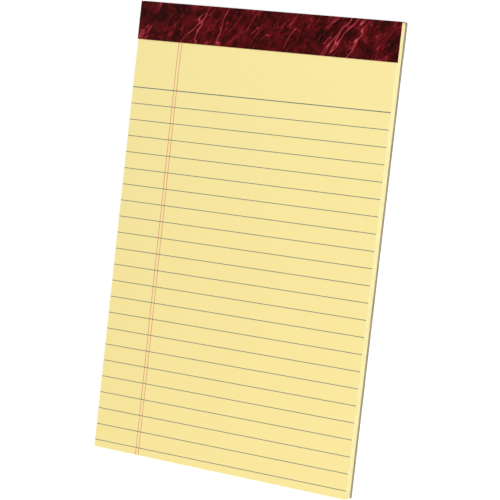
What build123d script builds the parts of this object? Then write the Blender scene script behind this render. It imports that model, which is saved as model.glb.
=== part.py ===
from build123d import *
import os

# Junior legal pad: fifty ruled sheets on a chipboard back, held by two wire staples through the stub
# and bound along the top edge by a folded paper strip.
#
# Millimetres, +Z up. The pad lies on its back with its front page up. +Y runs up the page to the bound
# edge and X across it. The origin is the middle of the whole pad, at the level it rests on.

# Sheets. At the binding they are pressed together, and past the strip they lie at their full thickness.
sheet_width = 127.0
sheet_length = 203.2
block_thickness = 4.7
stub_thickness = 4.35
rise_length = 14.0

# Chipboard back, as long as the sheets and as wide as the strip.
board_thickness = 1.0

# Binding strip: a front leg on the first sheet, a fold over the top edge and a back leg on the board.
# Its back leg is pressed into the board. Strip and board stand out past the sheets at each side.
strip_thickness = 0.15
front_leg = 17.2
back_leg = 15.0
fold_radius = 0.3
side_overhang = 0.4
back_leg_proud = 0.05

# Wire staples. The crown lies in the first sheets and the clinched points in the board's back.
wire_diameter = 0.5
crown_width = 12.0
clinch_length = 4.5
bend_radius = 0.6
staple_setback = 8.0
staple_spacing = 76.0
wire_clearance = 0.02

# Levels, from the surface that the pad rests on.
board_back = back_leg_proud
board_front = board_back + board_thickness
pressed_back = strip_thickness
stub_front = board_front + stub_thickness
page_level = board_front + block_thickness

# Strip and board are cut to one width.
bound_width = sheet_width + 2 * side_overhang

# Places along the page. The fold adds the strip's own thickness to the pad's length.
bottom_edge = -(sheet_length + strip_thickness) / 2
bound_edge = bottom_edge + sheet_length
strip_edge = bound_edge + strip_thickness - front_leg
back_leg_edge = bound_edge + strip_thickness - back_leg


def across(profile, width):
    """A piece of even section: its profile, drawn in Y and Z, across this width."""
    return extrude(Plane.YZ * profile, width / 2, both=True)


def staple_line(x, clinch):
    """The centre line of a staple's wire: one clinched point, leg, crown, leg and the other point."""
    y = bound_edge - staple_setback
    half_crown = (crown_width - wire_diameter) / 2
    crown_level = stub_front - wire_diameter / 2
    clinch_level = pressed_back + wire_diameter / 2
    return FilletPolyline(
        (x - half_crown + clinch, y, clinch_level),
        (x - half_crown, y, clinch_level),
        (x - half_crown, y, crown_level),
        (x + half_crown, y, crown_level),
        (x + half_crown, y, clinch_level),
        (x + half_crown - clinch, y, clinch_level),
        radius=bend_radius,
    )


def wire(line, diameter):
    return sweep(Plane(line @ 0, z_dir=line % 0) * Circle(diameter / 2), path=line)


def staple_bed(x):
    """What a staple presses out of the stack: a hole close round its wire, open over crown and points."""
    y = bound_edge - staple_setback
    width = wire_diameter + 2 * wire_clearance
    hole = wire(staple_line(x, clinch_length + wire_clearance), width)
    straight_crown = crown_width - wire_diameter - 2 * bend_radius
    crown_slot = Pos(x, y, stub_front) * Box(straight_crown, width, wire_diameter)
    point_run = clinch_length + wire_clearance - bend_radius
    point_middle = (straight_crown - point_run) / 2
    point_slots = [
        Pos(x + side * point_middle, y, pressed_back) * Box(point_run, width, wire_diameter)
        for side in (-1, 1)
    ]
    return hole + crown_slot + point_slots


def make_sheet_block():
    corner_start = bound_edge - fold_radius
    rise_end = strip_edge - rise_length
    rise_middle = (strip_edge + rise_end) / 2
    outline = [
        Line((corner_start, stub_front), (strip_edge, stub_front)),
        Bezier(
            (strip_edge, stub_front),
            (rise_middle, stub_front),
            (rise_middle, page_level),
            (rise_end, page_level),
        ),
        Polyline(
            (rise_end, page_level),
            (bottom_edge, page_level),
            (bottom_edge, board_front),
            (bound_edge, board_front),
            (bound_edge, stub_front - fold_radius),
        ),
        RadiusArc((bound_edge, stub_front - fold_radius), (corner_start, stub_front), -fold_radius),
    ]
    return across(make_face(Curve() + outline), sheet_width)


def make_backing_board():
    corner_start = bound_edge - fold_radius
    outline = [
        Polyline(
            (corner_start, pressed_back),
            (back_leg_edge, pressed_back),
            (back_leg_edge, board_back),
            (bottom_edge, board_back),
            (bottom_edge, board_front),
            (bound_edge, board_front),
            (bound_edge, pressed_back + fold_radius),
        ),
        RadiusArc((bound_edge, pressed_back + fold_radius), (corner_start, pressed_back), fold_radius),
    ]
    return across(make_face(Curve() + outline), bound_width)


def fold_line(outwards):
    """The strip's line round the bound edge, this far outside the stack."""
    return FilletPolyline(
        (strip_edge, stub_front + outwards),
        (bound_edge + outwards, stub_front + outwards),
        (bound_edge + outwards, pressed_back - outwards),
        (back_leg_edge, pressed_back - outwards),
        radius=fold_radius + outwards,
    )


def make_binding_strip():
    inside = fold_line(0)
    outside = fold_line(strip_thickness)
    ends = [Line(inside @ 0, outside @ 0), Line(inside @ 1, outside @ 1)]
    return across(make_face(Curve() + [inside, outside] + ends), bound_width)


staple_places = {"staple_left": -staple_spacing / 2, "staple_right": staple_spacing / 2}
sheet_block = make_sheet_block()
backing_board = make_backing_board()
for x in staple_places.values():
    sheet_block -= staple_bed(x)
    backing_board -= staple_bed(x)

pieces = {
    "backing_board": backing_board,
    "sheet_block": sheet_block,
    "binding_strip": make_binding_strip(),
}
for name, x in staple_places.items():
    pieces[name] = wire(staple_line(x, clinch_length), wire_diameter)

os.makedirs("parts", exist_ok=True)
for name, piece in pieces.items():
    export_step(piece, f"parts/{name}.step")
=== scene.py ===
import math
import random

import bmesh
import bpy
from mathutils import Matrix, Vector


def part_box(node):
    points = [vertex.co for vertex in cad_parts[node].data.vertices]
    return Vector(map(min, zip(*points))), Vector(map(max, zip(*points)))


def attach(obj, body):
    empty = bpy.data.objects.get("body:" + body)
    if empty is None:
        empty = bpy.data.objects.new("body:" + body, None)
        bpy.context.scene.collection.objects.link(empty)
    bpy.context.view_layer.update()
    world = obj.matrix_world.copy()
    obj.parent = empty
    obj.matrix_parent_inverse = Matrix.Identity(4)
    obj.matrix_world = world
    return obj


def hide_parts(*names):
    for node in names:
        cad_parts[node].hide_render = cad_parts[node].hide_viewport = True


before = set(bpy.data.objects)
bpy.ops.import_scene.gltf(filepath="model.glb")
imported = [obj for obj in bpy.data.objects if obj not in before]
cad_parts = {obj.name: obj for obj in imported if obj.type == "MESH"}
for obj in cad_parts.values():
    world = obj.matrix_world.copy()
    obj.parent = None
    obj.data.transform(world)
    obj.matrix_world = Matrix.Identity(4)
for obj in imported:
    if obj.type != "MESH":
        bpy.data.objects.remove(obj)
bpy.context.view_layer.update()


# --- View ---------------------------------------------------------------------------------------
# The pad lies on its back and the camera looks down on its front page through a long lens, from its
# right and a little from the side of its bound edge, with the page turned slightly clockwise.
mm = 0.001
_, block_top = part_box("sheet_block")
camera_place = Vector((370.1 * mm, 54.2 * mm, 711.1 * mm))
aim = Vector((4.8 * mm, -2.3 * mm, block_top.z))
camera_roll = math.radians(6.43)

back = (camera_place - aim).normalized()
right = Vector((0, 1, 0)).cross(back).normalized()
upright = Matrix((right, back.cross(right), back)).transposed()
camera_data = bpy.data.cameras.new("camera")
camera_data.sensor_width = 36
camera_data.lens = 131.5
camera_data.clip_start = 0.01
camera = bpy.data.objects.new("camera", camera_data)
camera.matrix_world = (
    Matrix.Translation(camera_place) @ (upright @ Matrix.Rotation(camera_roll, 3, "Z")).to_4x4()
)
bpy.context.collection.objects.link(camera)
bpy.context.scene.camera = camera


# --- Studio -------------------------------------------------------------------------------------
# A white room: an even world, a large softbox above the pad's right and two small ones, cooler at its
# head and warmer at its foot. The floor is white and shows the pad's faint shadow.
bpy.context.scene.view_settings.view_transform = "Standard"

white = (1, 1, 1, 1)
room_light = 0.5


def new_node(tree, kind, operation=None, **sockets):
    """A node of this kind with these values on its inputs, given by name with _ for a space."""
    node = tree.nodes.new(kind)
    if operation:
        node.operation = operation
    for name, value in sockets.items():
        node.inputs[name.replace("_", " ")].default_value = value
    return node


def seen_directly(tree):
    """A factor of 1 where a camera, mirror or glass ray meets the white of the room."""
    path = new_node(tree, "ShaderNodeLightPath")
    glossy = new_node(tree, "ShaderNodeMath", "MAXIMUM")
    tree.links.new(path.outputs["Is Camera Ray"], glossy.inputs[0])
    tree.links.new(path.outputs["Is Glossy Ray"], glossy.inputs[1])
    through = new_node(tree, "ShaderNodeMath", "MAXIMUM")
    tree.links.new(glossy.outputs[0], through.inputs[0])
    tree.links.new(path.outputs["Is Transmission Ray"], through.inputs[1])
    return through.outputs[0]


world = bpy.data.worlds.new("white_room")
world.use_nodes = True
tree = world.node_tree
tree.nodes.clear()
lighting = new_node(tree, "ShaderNodeBackground", Color=white, Strength=room_light)
backdrop = new_node(tree, "ShaderNodeBackground", Color=white, Strength=1)
choice = new_node(tree, "ShaderNodeMixShader")
world_out = new_node(tree, "ShaderNodeOutputWorld")
tree.links.new(seen_directly(tree), choice.inputs["Fac"])
tree.links.new(lighting.outputs[0], choice.inputs[1])
tree.links.new(backdrop.outputs[0], choice.inputs[2])
tree.links.new(choice.outputs[0], world_out.inputs["Surface"])
bpy.context.scene.world = world

for name, place, size, watts, tint in (
    ("key_softbox", (1.1, 0.14, 1.05), 1.2, 9.6, (1, 1, 1)),
    ("head_softbox", (0.1, 0.5, 0.36), 0.4, 1.0, (0.8, 0.92, 1)),
    ("foot_softbox", (0.05, -0.5, 0.36), 0.4, 0.95, (1, 0.94, 0.55)),
):
    softbox = bpy.data.lights.new(name, "AREA")
    softbox.shape = "DISK"
    softbox.size = size
    softbox.energy = watts
    softbox.color = tint
    lamp = bpy.data.objects.new(name, softbox)
    lamp.location = place
    lamp.rotation_euler = Vector(place).to_track_quat("Z", "Y").to_euler()
    bpy.context.collection.objects.link(lamp)

floor_reach = 4.0
floor_grey = 0.8
floor_glow = 0.45
floor_gap = 0.02 * mm
floor_mesh = bpy.data.meshes.new("floor")
floor_mesh.from_pydata(
    [(x * floor_reach, y * floor_reach, -floor_gap) for x, y in ((-1, -1), (1, -1), (1, 1), (-1, 1))],
    [],
    [(0, 1, 2, 3)],
)
floor = bpy.data.objects.new("floor", floor_mesh)
bpy.context.collection.objects.link(floor)
floor_paint = bpy.data.materials.new("floor_white")
floor_paint.use_nodes = True
tree = floor_paint.node_tree
tree.nodes.clear()
matte = new_node(tree, "ShaderNodeBsdfDiffuse", Color=(floor_grey, floor_grey, floor_grey, 1))
glow = new_node(tree, "ShaderNodeEmission", Color=white)
glow_strength = new_node(tree, "ShaderNodeMath", "MULTIPLY")
glow_strength.inputs[1].default_value = floor_glow
both = new_node(tree, "ShaderNodeAddShader")
floor_out = new_node(tree, "ShaderNodeOutputMaterial")
tree.links.new(seen_directly(tree), glow_strength.inputs[0])
tree.links.new(glow_strength.outputs[0], glow.inputs["Strength"])
tree.links.new(matte.outputs[0], both.inputs[0])
tree.links.new(glow.outputs[0], both.inputs[1])
tree.links.new(both.outputs[0], floor_out.inputs["Surface"])
floor_mesh.materials.append(floor_paint)


# --- Backing board ------------------------------------------------------------------------------
# A sheet of grey-brown chipboard, rolled from waste paper, so it is full of short fibres and specks.
# It stands out a little past the sheets at each side, and the binding press has sunk the strip's back
# leg into its back.
board_low, board_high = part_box("backing_board")
strip_low, strip_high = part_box("binding_strip")
block_low, block_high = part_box("sheet_block")
strip_thickness = strip_high.y - block_high.y
back_leg = 15.0 * mm
fold_radius = 0.3 * mm
board_edge_wear = 0.09 * mm
board_fibre_length = 0.9 * mm
board_relief = 0.06 * mm
fleck_scale = 1300
board_dark, board_pale = (0.27, 0.23, 0.165), (0.35, 0.3, 0.22)
board_straw = (0.5, 0.45, 0.35)
dark_fleck, pale_fleck = (0.1, 0.085, 0.07), (0.55, 0.5, 0.42)


def curve_points(centre, radius, start, end, steps=6):
    """Points of an arc in Y and Z, from one angle to the other in degrees, counted from +Y to +Z."""
    angles = [math.radians(start + (end - start) * i / steps) for i in range(steps + 1)]
    return [(centre[0] + radius * math.cos(a), centre[1] + radius * math.sin(a)) for a in angles]


def finish_piece(name, mesh, materials, crease_deg=40):
    """Puts a mesh in the scene as a smooth-shaded piece with creases, on the pad's only body."""
    for polygon in mesh.polygons:
        polygon.use_smooth = True
    mesh.set_sharp_from_angle(angle=math.radians(crease_deg))
    for material in materials:
        mesh.materials.append(material)
    piece = bpy.data.objects.new(name, mesh)
    bpy.context.collection.objects.link(piece)
    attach(piece, "root")
    return piece


def pull_across(outline, x_low, x_high, lengths):
    """A bmesh of even section: this outline, in Y and Z, drawn from one x to the other in lengths."""
    bm = bmesh.new()
    rings = []
    for i in range(lengths + 1):
        x = x_low + (x_high - x_low) * i / lengths
        rings.append([bm.verts.new((x, y, z)) for y, z in outline])
    for ring, following in zip(rings, rings[1:]):
        for i in range(len(outline)):
            j = (i + 1) % len(outline)
            bm.faces.new((ring[i], ring[j], following[j], following[i]))
    bm.faces.new(rings[0])
    bm.faces.new(rings[-1])
    bmesh.ops.recalc_face_normals(bm, faces=bm.faces)
    return bm


def worn_edges(bm, wear, sharper_than_deg=35):
    """Rounds every edge of a bmesh that is sharper than this by a small radius."""
    sharp = [e for e in bm.edges if e.calc_face_angle(0) > math.radians(sharper_than_deg)]
    bmesh.ops.bevel(bm, geom=sharp, offset=wear, segments=2, profile=0.5, affect="EDGES")


def to_mesh(bm, name):
    mesh = bpy.data.meshes.new(name)
    bm.to_mesh(mesh)
    bm.free()
    return mesh


# Fibre, for every paper and board here: soft clouds, and short fibres that cross at two angles.
fibre = bpy.data.node_groups.new("fibre", "ShaderNodeTree")
fibre.interface.new_socket("Fibre Length", in_out="INPUT", socket_type="NodeSocketFloat")
fibre.interface.new_socket("Clouds", in_out="OUTPUT", socket_type="NodeSocketFloat")
fibre.interface.new_socket("Fibres", in_out="OUTPUT", socket_type="NodeSocketFloat")
fibre_in = new_node(fibre, "NodeGroupInput")
fibre_out = new_node(fibre, "NodeGroupOutput")
fibre_place = new_node(fibre, "ShaderNodeTexCoord")
per_metre = new_node(fibre, "ShaderNodeMath", "DIVIDE")
per_metre.inputs[0].default_value = 1.0
fibre.links.new(fibre_in.outputs["Fibre Length"], per_metre.inputs[1])
clouds_per_fibre = 0.12
clouds_per_metre = new_node(fibre, "ShaderNodeMath", "MULTIPLY")
clouds_per_metre.inputs[1].default_value = clouds_per_fibre
fibre.links.new(per_metre.outputs[0], clouds_per_metre.inputs[0])
clouds = new_node(fibre, "ShaderNodeTexNoise", Detail=3, Roughness=0.6)
fibre.links.new(fibre_place.outputs["Object"], clouds.inputs["Vector"])
fibre.links.new(clouds_per_metre.outputs[0], clouds.inputs["Scale"])
fibre.links.new(clouds.outputs["Fac"], fibre_out.inputs["Clouds"])
laid = []
for angle_deg in (28, -41):
    turned = new_node(fibre, "ShaderNodeMapping", Rotation=(0, 0, math.radians(angle_deg)))
    turned.inputs["Scale"].default_value = (1, 7, 3)
    fibre.links.new(fibre_place.outputs["Object"], turned.inputs["Vector"])
    strands = new_node(fibre, "ShaderNodeTexNoise", Detail=2, Roughness=0.5)
    fibre.links.new(turned.outputs[0], strands.inputs["Vector"])
    fibre.links.new(per_metre.outputs[0], strands.inputs["Scale"])
    laid.append(strands.outputs["Fac"])
crossed = new_node(fibre, "ShaderNodeMath", "MAXIMUM")
fibre.links.new(laid[0], crossed.inputs[0])
fibre.links.new(laid[1], crossed.inputs[1])
fibre.links.new(crossed.outputs[0], fibre_out.inputs["Fibres"])


def new_material(name, **sockets):
    """A material with one Principled shader, these values on its sockets, and the shader's node."""
    material = bpy.data.materials.new(name)
    material.use_nodes = True
    shader = material.node_tree.nodes["Principled BSDF"]
    for socket, value in sockets.items():
        shader.inputs[socket.replace("_", " ")].default_value = value
    return material, shader


def add_fibre(tree, fibre_length):
    group = tree.nodes.new("ShaderNodeGroup")
    group.node_tree = fibre
    group.inputs["Fibre Length"].default_value = fibre_length
    return group


def blend_colours(tree, factor, low, high):
    """The colour between two, by a factor; each colour is a fixed one or another node's output."""
    mix = tree.nodes.new("ShaderNodeMix")
    mix.data_type = "RGBA"
    tree.links.new(factor, mix.inputs["Factor"])
    for socket, colour in (("A", low), ("B", high)):
        place = next(s for s in mix.inputs if s.name == socket and s.type == "RGBA")
        if isinstance(colour, tuple):
            place.default_value = (*colour, 1)
        else:
            tree.links.new(colour, place)
    return next(s for s in mix.outputs if s.type == "RGBA")


def spread(tree, value, low, high, to_low=0.0, to_high=1.0):
    """Stretches the part of a value between low and high over a new range, clamped at its ends."""
    stretch = new_node(tree, "ShaderNodeMapRange")
    stretch.inputs["From Min"].default_value = low
    stretch.inputs["From Max"].default_value = high
    stretch.inputs["To Min"].default_value = to_low
    stretch.inputs["To Max"].default_value = to_high
    tree.links.new(value, stretch.inputs["Value"])
    return stretch.outputs["Result"]


def add_bump(tree, shader, height, distance):
    bump = new_node(tree, "ShaderNodeBump", Strength=1.0, Distance=distance)
    tree.links.new(height, bump.inputs["Height"])
    tree.links.new(bump.outputs["Normal"], shader.inputs["Normal"])


chipboard, shader = new_material("chipboard", Roughness=0.85)
tree = chipboard.node_tree
pulp = add_fibre(tree, board_fibre_length)
base = blend_colours(tree, spread(tree, pulp.outputs["Clouds"], 0.3, 0.7), board_dark, board_pale)
straws = spread(tree, pulp.outputs["Fibres"], 0.58, 0.75, 0, 0.6)
base = blend_colours(tree, straws, base, board_straw)
place = new_node(tree, "ShaderNodeTexCoord")
flecks = new_node(tree, "ShaderNodeTexNoise", Scale=fleck_scale, Detail=3, Roughness=0.7)
tree.links.new(place.outputs["Object"], flecks.inputs["Vector"])
dark_flecks = spread(tree, flecks.outputs["Fac"], 0.62, 0.72, 0, 0.8)
base = blend_colours(tree, dark_flecks, base, dark_fleck)
pale_flecks = spread(tree, flecks.outputs["Fac"], 0.37, 0.3, 0, 0.6)
base = blend_colours(tree, pale_flecks, base, pale_fleck)
tree.links.new(base, shader.inputs["Base Color"])
add_bump(tree, shader, pulp.outputs["Fibres"], board_relief)

board_fold = (board_high.y - fold_radius, strip_low.z + strip_thickness + fold_radius)
board_outline = [
    (strip_high.y - back_leg, strip_low.z + strip_thickness),
    (strip_high.y - back_leg, board_low.z),
    (board_low.y, board_low.z),
    (board_low.y, board_high.z),
    (board_high.y, board_high.z),
] + curve_points(board_fold, fold_radius, 0, -90)
bm = pull_across(board_outline, board_low.x, board_high.x, 1)
worn_edges(bm, board_edge_wear)
board = finish_piece("board", to_mesh(bm, "board"), [chipboard])
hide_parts("backing_board")


# --- Sheets -------------------------------------------------------------------------------------
# The forty-nine sheets under the first one, in one block as they lie. Each sheet's cut edge shows as
# a ridge on the block's sides. They are pressed thinner under the strip and swell just past it.
sheet_count = 50
rise_length = 14.0 * mm
groove_depth = 0.022 * mm
groove_share = 0.3
edge_scatter = 0.05 * mm
strip_edge = strip_low.y
stub_top = strip_high.z - strip_thickness
stub_share = (stub_top - block_low.z) / (block_high.z - block_low.z)
length_steps = 22
rise_steps = 8
cut_edge_dark, cut_edge_pale = (0.94, 0.84, 0.445), (0.975, 0.91, 0.54)
cut_edge_streaks = (60, 60, 9000)
still = Vector((0, 0, 0))
dice = random.Random(5)


def swell_stations():
    """Places up the page, from foot to head, each with the share of the full thickness there.

    The swell past the strip is a cubic curve that starts and ends level.
    """
    rise_end = strip_edge - rise_length
    free = [
        (block_low.y + (rise_end - block_low.y) * i / length_steps, 1.0)
        for i in range(length_steps + 1)
    ]
    rise = []
    for i in range(1, rise_steps + 1):
        t = 1 - i / rise_steps
        run = 1.5 * t - 1.5 * t * t + t**3
        lift = 3 * t * t - 2 * t**3
        rise.append((strip_edge - rise_length * run, stub_share + (1 - stub_share) * lift))
    return free + rise + [(block_high.y - fold_radius, stub_share), (block_high.y, stub_share)]


stations = swell_stations()
sheet_share = 1 / sheet_count


def block_ring(bm, level, inset, shift):
    """A ring of points at this share of the block's height, up its right side and down its left."""
    ring = []
    places = [(block_high.x - inset, y, share) for y, share in stations]
    places += [(block_low.x + inset, y, share) for y, share in reversed(stations)]
    for x, y, share in places:
        if y == block_low.y:
            y += inset + shift.y
        z = block_low.z + (block_high.z - block_low.z) * share * level
        ring.append(bm.verts.new((x + shift.x, y, z)))
    return ring


bm = bmesh.new()
rings = []
for n in range(sheet_count - 1):
    shift = Vector((dice.uniform(-1, 1), dice.uniform(0, 1), 0)) * edge_scatter
    low, high = n * sheet_share, (n + 1) * sheet_share
    groove = groove_share * sheet_share / 2
    rings.append(block_ring(bm, low, groove_depth + edge_scatter, still))
    rings.append(block_ring(bm, low + groove, edge_scatter, shift))
    rings.append(block_ring(bm, high - groove, edge_scatter, shift))
top_level = (sheet_count - 1) * sheet_share
rings.append(block_ring(bm, top_level, groove_depth + edge_scatter, still))
for ring, above in zip(rings, rings[1:]):
    for i in range(len(ring)):
        j = (i + 1) % len(ring)
        bm.faces.new((ring[i], ring[j], above[j], above[i]))
for ring in (rings[0], rings[-1]):
    for j in range(len(stations) - 1):
        bm.faces.new((ring[j], ring[j + 1], ring[-2 - j], ring[-1 - j]))
bmesh.ops.recalc_face_normals(bm, faces=bm.faces)

cut_edge, shader = new_material("cut_paper_edge", Roughness=0.8, Specular_IOR_Level=0.25)
tree = cut_edge.node_tree
place = new_node(tree, "ShaderNodeTexCoord")
streaks = new_node(tree, "ShaderNodeMapping", Scale=cut_edge_streaks)
tree.links.new(place.outputs["Object"], streaks.inputs["Vector"])
tint = new_node(tree, "ShaderNodeTexNoise", Scale=1, Detail=2)
tree.links.new(streaks.outputs[0], tint.inputs["Vector"])
base = blend_colours(tree, spread(tree, tint.outputs["Fac"], 0.3, 0.7), cut_edge_dark, cut_edge_pale)
tree.links.new(base, shader.inputs["Base Color"])

sheets = finish_piece("sheets", to_mesh(bm, "sheets"), [cut_edge], crease_deg=75)
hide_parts("sheet_block")


# --- First page ---------------------------------------------------------------------------------
# The top sheet of canary writing paper, lying on the others. It swells with them past the strip.
page_inset = 0.03 * mm
paper_fibre_length = 0.5 * mm
paper_relief = 0.01 * mm
paper_dark, paper_pale = (0.935, 0.78, 0.345), (0.945, 0.792, 0.355)
paper_fibre = (0.95, 0.81, 0.38)
page_stations = stations[:-1]
width_steps = 8
across_shares = [i / width_steps for i in range(width_steps + 1)]

canary, shader = new_material("canary_paper", Roughness=0.75, Specular_IOR_Level=0.25)
tree = canary.node_tree
pulp = add_fibre(tree, paper_fibre_length)
base = blend_colours(tree, spread(tree, pulp.outputs["Clouds"], 0.3, 0.7), paper_dark, paper_pale)
fibres = spread(tree, pulp.outputs["Fibres"], 0.55, 0.8, 0, 0.3)
base = blend_colours(tree, fibres, base, paper_fibre)
tree.links.new(base, shader.inputs["Base Color"])
add_bump(tree, shader, pulp.outputs["Fibres"], paper_relief)

bm = bmesh.new()
sides = []
for level in (top_level, 1.0):
    grid = []
    for y, share in page_stations:
        z = block_low.z + (block_high.z - block_low.z) * share * level
        if y == block_low.y:
            y += page_inset
        width = block_high.x - block_low.x - 2 * page_inset
        grid.append([bm.verts.new((block_low.x + page_inset + width * a, y, z)) for a in across_shares])
    sides.append(grid)
for grid in sides:
    for row, above in zip(grid, grid[1:]):
        for i in range(width_steps):
            bm.faces.new((row[i], row[i + 1], above[i + 1], above[i]))
under, over = sides
for row in (0, -1):
    for i in range(width_steps):
        bm.faces.new((under[row][i], under[row][i + 1], over[row][i + 1], over[row][i]))
for side in (0, -1):
    for j in range(len(page_stations) - 1):
        bm.faces.new((under[j][side], under[j + 1][side], over[j + 1][side], over[j][side]))
bmesh.ops.recalc_face_normals(bm, faces=bm.faces)
for face in bm.faces:
    face.material_index = 0 if abs(face.normal.z) > 0.5 else 1
front_page = finish_piece("front_page", to_mesh(bm, "front_page"), [canary, cut_edge])
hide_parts("sheet_block")


# --- Printed lines ------------------------------------------------------------------------------
# Legal ruling: twenty-three thin blue-grey rules from edge to edge and a pair of faint red margin
# lines down the left, printed a hair askew to the cut sheet. The ink is a film on the first page.
rule_count = 23
rule_spacing = 7.336 * mm
last_rule_up = 3.5 * mm
rule_width = 0.29 * mm
head_rule_width = 0.38 * mm
print_skew = 0.0045
margin_from_left = 21.6 * mm
margin_gap = 1.45 * mm
margin_width = 0.26 * mm
ink_film = 0.006 * mm
ink_grain = 0.35 * mm


def page_height(y):
    """The first page's level at a place up the page."""
    for (y_low, low), (y_high, high) in zip(stations, stations[1:]):
        if y_low <= y <= y_high:
            share = low + (high - low) * (y - y_low) / (y_high - y_low)
            return block_low.z + (block_high.z - block_low.z) * share
    return block_high.z


def lay_ink(bm, places):
    """A closed film of ink along these places on the page, each given with its left and right."""
    rings = []
    for left_place, right_place in places:
        corners = []
        for (x, y), up in ((left_place, 0), (right_place, 0), (right_place, 1), (left_place, 1)):
            corners.append(bm.verts.new((x, y, page_height(y) + (up * 2 - 1) * ink_film)))
        rings.append(corners)
    for ring, following in zip(rings, rings[1:]):
        for i in range(4):
            j = (i + 1) % 4
            bm.faces.new((ring[i], ring[j], following[j], following[i]))
    bm.faces.new(rings[0])
    bm.faces.new(rings[-1])


def ink_material(name, thin, dense):
    """Printing ink soaked into paper: uneven along its line, and as matte as the paper round it."""
    ink, shader = new_material(name, Roughness=0.7, Specular_IOR_Level=0.25)
    tree = ink.node_tree
    pulp = add_fibre(tree, ink_grain)
    colour = blend_colours(tree, spread(tree, pulp.outputs["Fibres"], 0.4, 0.7), dense, thin)
    tree.links.new(colour, shader.inputs["Base Color"])
    return ink


rule_ink = ink_material("rule_ink", thin=(0.08, 0.155, 0.19), dense=(0.045, 0.11, 0.14))
margin_ink = ink_material("margin_ink", thin=(0.68, 0.17, 0.18), dense=(0.61, 0.13, 0.14))

page_low_x, page_high_x = block_low.x + page_inset, block_high.x - page_inset
bm = bmesh.new()
for n in range(rule_count):
    y = block_low.y + last_rule_up + n * rule_spacing
    half = (head_rule_width if n == rule_count - 1 else rule_width) / 2
    places = []
    for x in (page_low_x, page_high_x):
        middle = y + print_skew * x
        places.append(((x, middle - half), (x, middle + half)))
    lay_ink(bm, places)
bmesh.ops.recalc_face_normals(bm, faces=bm.faces)
rules = finish_piece("printed_rules", to_mesh(bm, "printed_rules"), [rule_ink])

bm = bmesh.new()
for n in range(2):
    x = block_low.x + margin_from_left + n * margin_gap
    places = []
    for y, _ in stations:
        if y <= strip_edge:
            place_y = max(y, block_low.y + page_inset)
            middle = x - print_skew * place_y
            places.append(((middle - margin_width / 2, place_y), (middle + margin_width / 2, place_y)))
    lay_ink(bm, places)
bmesh.ops.recalc_face_normals(bm, faces=bm.faces)
margin_lines = finish_piece("printed_margin", to_mesh(bm, "printed_margin"), [margin_ink])


# --- Binding strip ------------------------------------------------------------------------------
# One strip of coated paper, printed with a maroon marble, folded over the stapled head of the stack
# and glued down in front and behind. Its place for lettering is left bare.
front_fold = (block_high.y - fold_radius, stub_top - fold_radius)
back_fold = (block_high.y - fold_radius, strip_low.z + strip_thickness + fold_radius)
outer_radius = fold_radius + strip_thickness
strip_edge_wear = 0.02 * mm
maroon_black, maroon_dark = (0.01, 0.0012, 0.0008), (0.047, 0.0018, 0.0024)
maroon = (0.125, 0.0055, 0.0075)
marble_cloud_scale = 170
vein_lean_deg = 58
vein_stretch = 3.6
vein_core_share = 0.45
strip_outline = (
    [(strip_low.y, stub_top)]
    + curve_points(front_fold, fold_radius, 90, 0)
    + curve_points(back_fold, fold_radius, 0, -90)
    + [(strip_high.y - back_leg, strip_low.z + strip_thickness), (strip_high.y - back_leg, strip_low.z)]
    + curve_points(back_fold, outer_radius, -90, 0)
    + curve_points(front_fold, outer_radius, 0, 90)
    + [(strip_low.y, strip_high.z)]
)

marble, shader = new_material("marbled_paper", Roughness=0.4, Specular_IOR_Level=0.04)
tree = marble.node_tree
place = new_node(tree, "ShaderNodeTexCoord")
stirred = place.outputs["Object"]
for scale, reach in ((50, 5 * mm), (300, 0.6 * mm)):
    swirl = new_node(tree, "ShaderNodeTexNoise", Scale=scale, Detail=2)
    tree.links.new(place.outputs["Object"], swirl.inputs["Vector"])
    push = new_node(tree, "ShaderNodeVectorMath", "SCALE", Scale=reach)
    tree.links.new(swirl.outputs["Color"], push.inputs[0])
    moved = new_node(tree, "ShaderNodeVectorMath", "ADD")
    tree.links.new(stirred, moved.inputs[0])
    tree.links.new(push.outputs[0], moved.inputs[1])
    stirred = moved.outputs[0]
lean = new_node(tree, "ShaderNodeMapping", Rotation=(0, 0, math.radians(vein_lean_deg)))
lean.inputs["Scale"].default_value = (vein_stretch, 1, 1)
lean.vector_type = "TEXTURE"
tree.links.new(stirred, lean.inputs["Vector"])
clouds = new_node(tree, "ShaderNodeTexNoise", Scale=marble_cloud_scale, Detail=8, Roughness=0.68)
tree.links.new(stirred, clouds.inputs["Vector"])
cloud = clouds.outputs["Fac"]
base = blend_colours(tree, spread(tree, cloud, 0.36, 0.52), maroon_black, maroon_dark)
base = blend_colours(tree, spread(tree, cloud, 0.5, 0.7), base, maroon)
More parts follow.
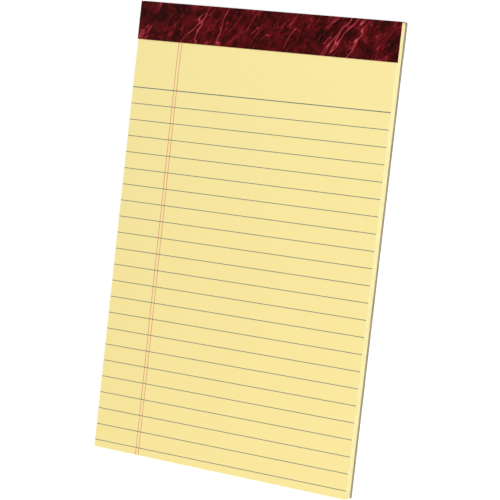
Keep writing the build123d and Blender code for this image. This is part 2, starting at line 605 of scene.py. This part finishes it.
for scale, width, halo, core, shown_from, shown_to in (
    (330, 0.04, (0.07, 0.003, 0.0045), (0.14, 0.007, 0.011), 0.42, 0.58),
    (180, 0.03, (0.13, 0.005, 0.008), (0.25, 0.014, 0.022), 0.42, 0.58),
    (95, 0.02, (0.17, 0.007, 0.011), (0.36, 0.03, 0.042), 0.44, 0.58),
    (71, 0.016, (0.21, 0.009, 0.016), (0.56, 0.075, 0.09), 0.43, 0.54),
):
    vein = new_node(tree, "ShaderNodeTexNoise", Scale=scale, Detail=3, Roughness=0.55)
    tree.links.new(lean.outputs[0], vein.inputs["Vector"])
    middle = new_node(tree, "ShaderNodeMath", "SUBTRACT")
    middle.inputs[1].default_value = 0.5
    tree.links.new(vein.outputs["Fac"], middle.inputs[0])
    distance = new_node(tree, "ShaderNodeMath", "ABSOLUTE")
    tree.links.new(middle.outputs[0], distance.inputs[0])
    broken = new_node(tree, "ShaderNodeTexNoise", Scale=scale * 1.1, Detail=2)
    tree.links.new(place.outputs["Object"], broken.inputs["Vector"])
    where = spread(tree, broken.outputs["Fac"], shown_from, shown_to)
    for reach, colour in ((width, halo), (width * vein_core_share, core)):
        shown = new_node(tree, "ShaderNodeMath", "MULTIPLY")
        tree.links.new(spread(tree, distance.outputs[0], 0, reach, 1, 0), shown.inputs[0])
        tree.links.new(where, shown.inputs[1])
        base = blend_colours(tree, shown.outputs[0], base, colour)
tree.links.new(base, shader.inputs["Base Color"])

bm = pull_across(strip_outline, strip_low.x, strip_high.x, 1)
worn_edges(bm, strip_edge_wear)
strip = finish_piece("strip", to_mesh(bm, "strip"), [marble])
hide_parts("binding_strip")


# --- Staples ------------------------------------------------------------------------------------
# Two galvanised wire staples through the stub and the board, hidden under the strip's legs. The wire
# is drawn, so its zinc is a little uneven in shade and shine.
wire_dark, wire_bright = (0.5, 0.5, 0.5), (0.66, 0.66, 0.67)
drawn_scale = 3000

staple_wire, shader = new_material("staple_wire", Metallic=1.0)
tree = staple_wire.node_tree
place = new_node(tree, "ShaderNodeTexCoord")
drawn = new_node(tree, "ShaderNodeTexNoise", Scale=drawn_scale, Detail=2)
tree.links.new(place.outputs["Object"], drawn.inputs["Vector"])
base = blend_colours(tree, drawn.outputs["Fac"], wire_dark, wire_bright)
tree.links.new(base, shader.inputs["Base Color"])
tree.links.new(spread(tree, drawn.outputs["Fac"], 0.3, 0.7, 0.28, 0.42), shader.inputs["Roughness"])
for name in ("staple_left", "staple_right"):
    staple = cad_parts[name]
    for material_slot in staple.material_slots:
        material_slot.material = staple_wire
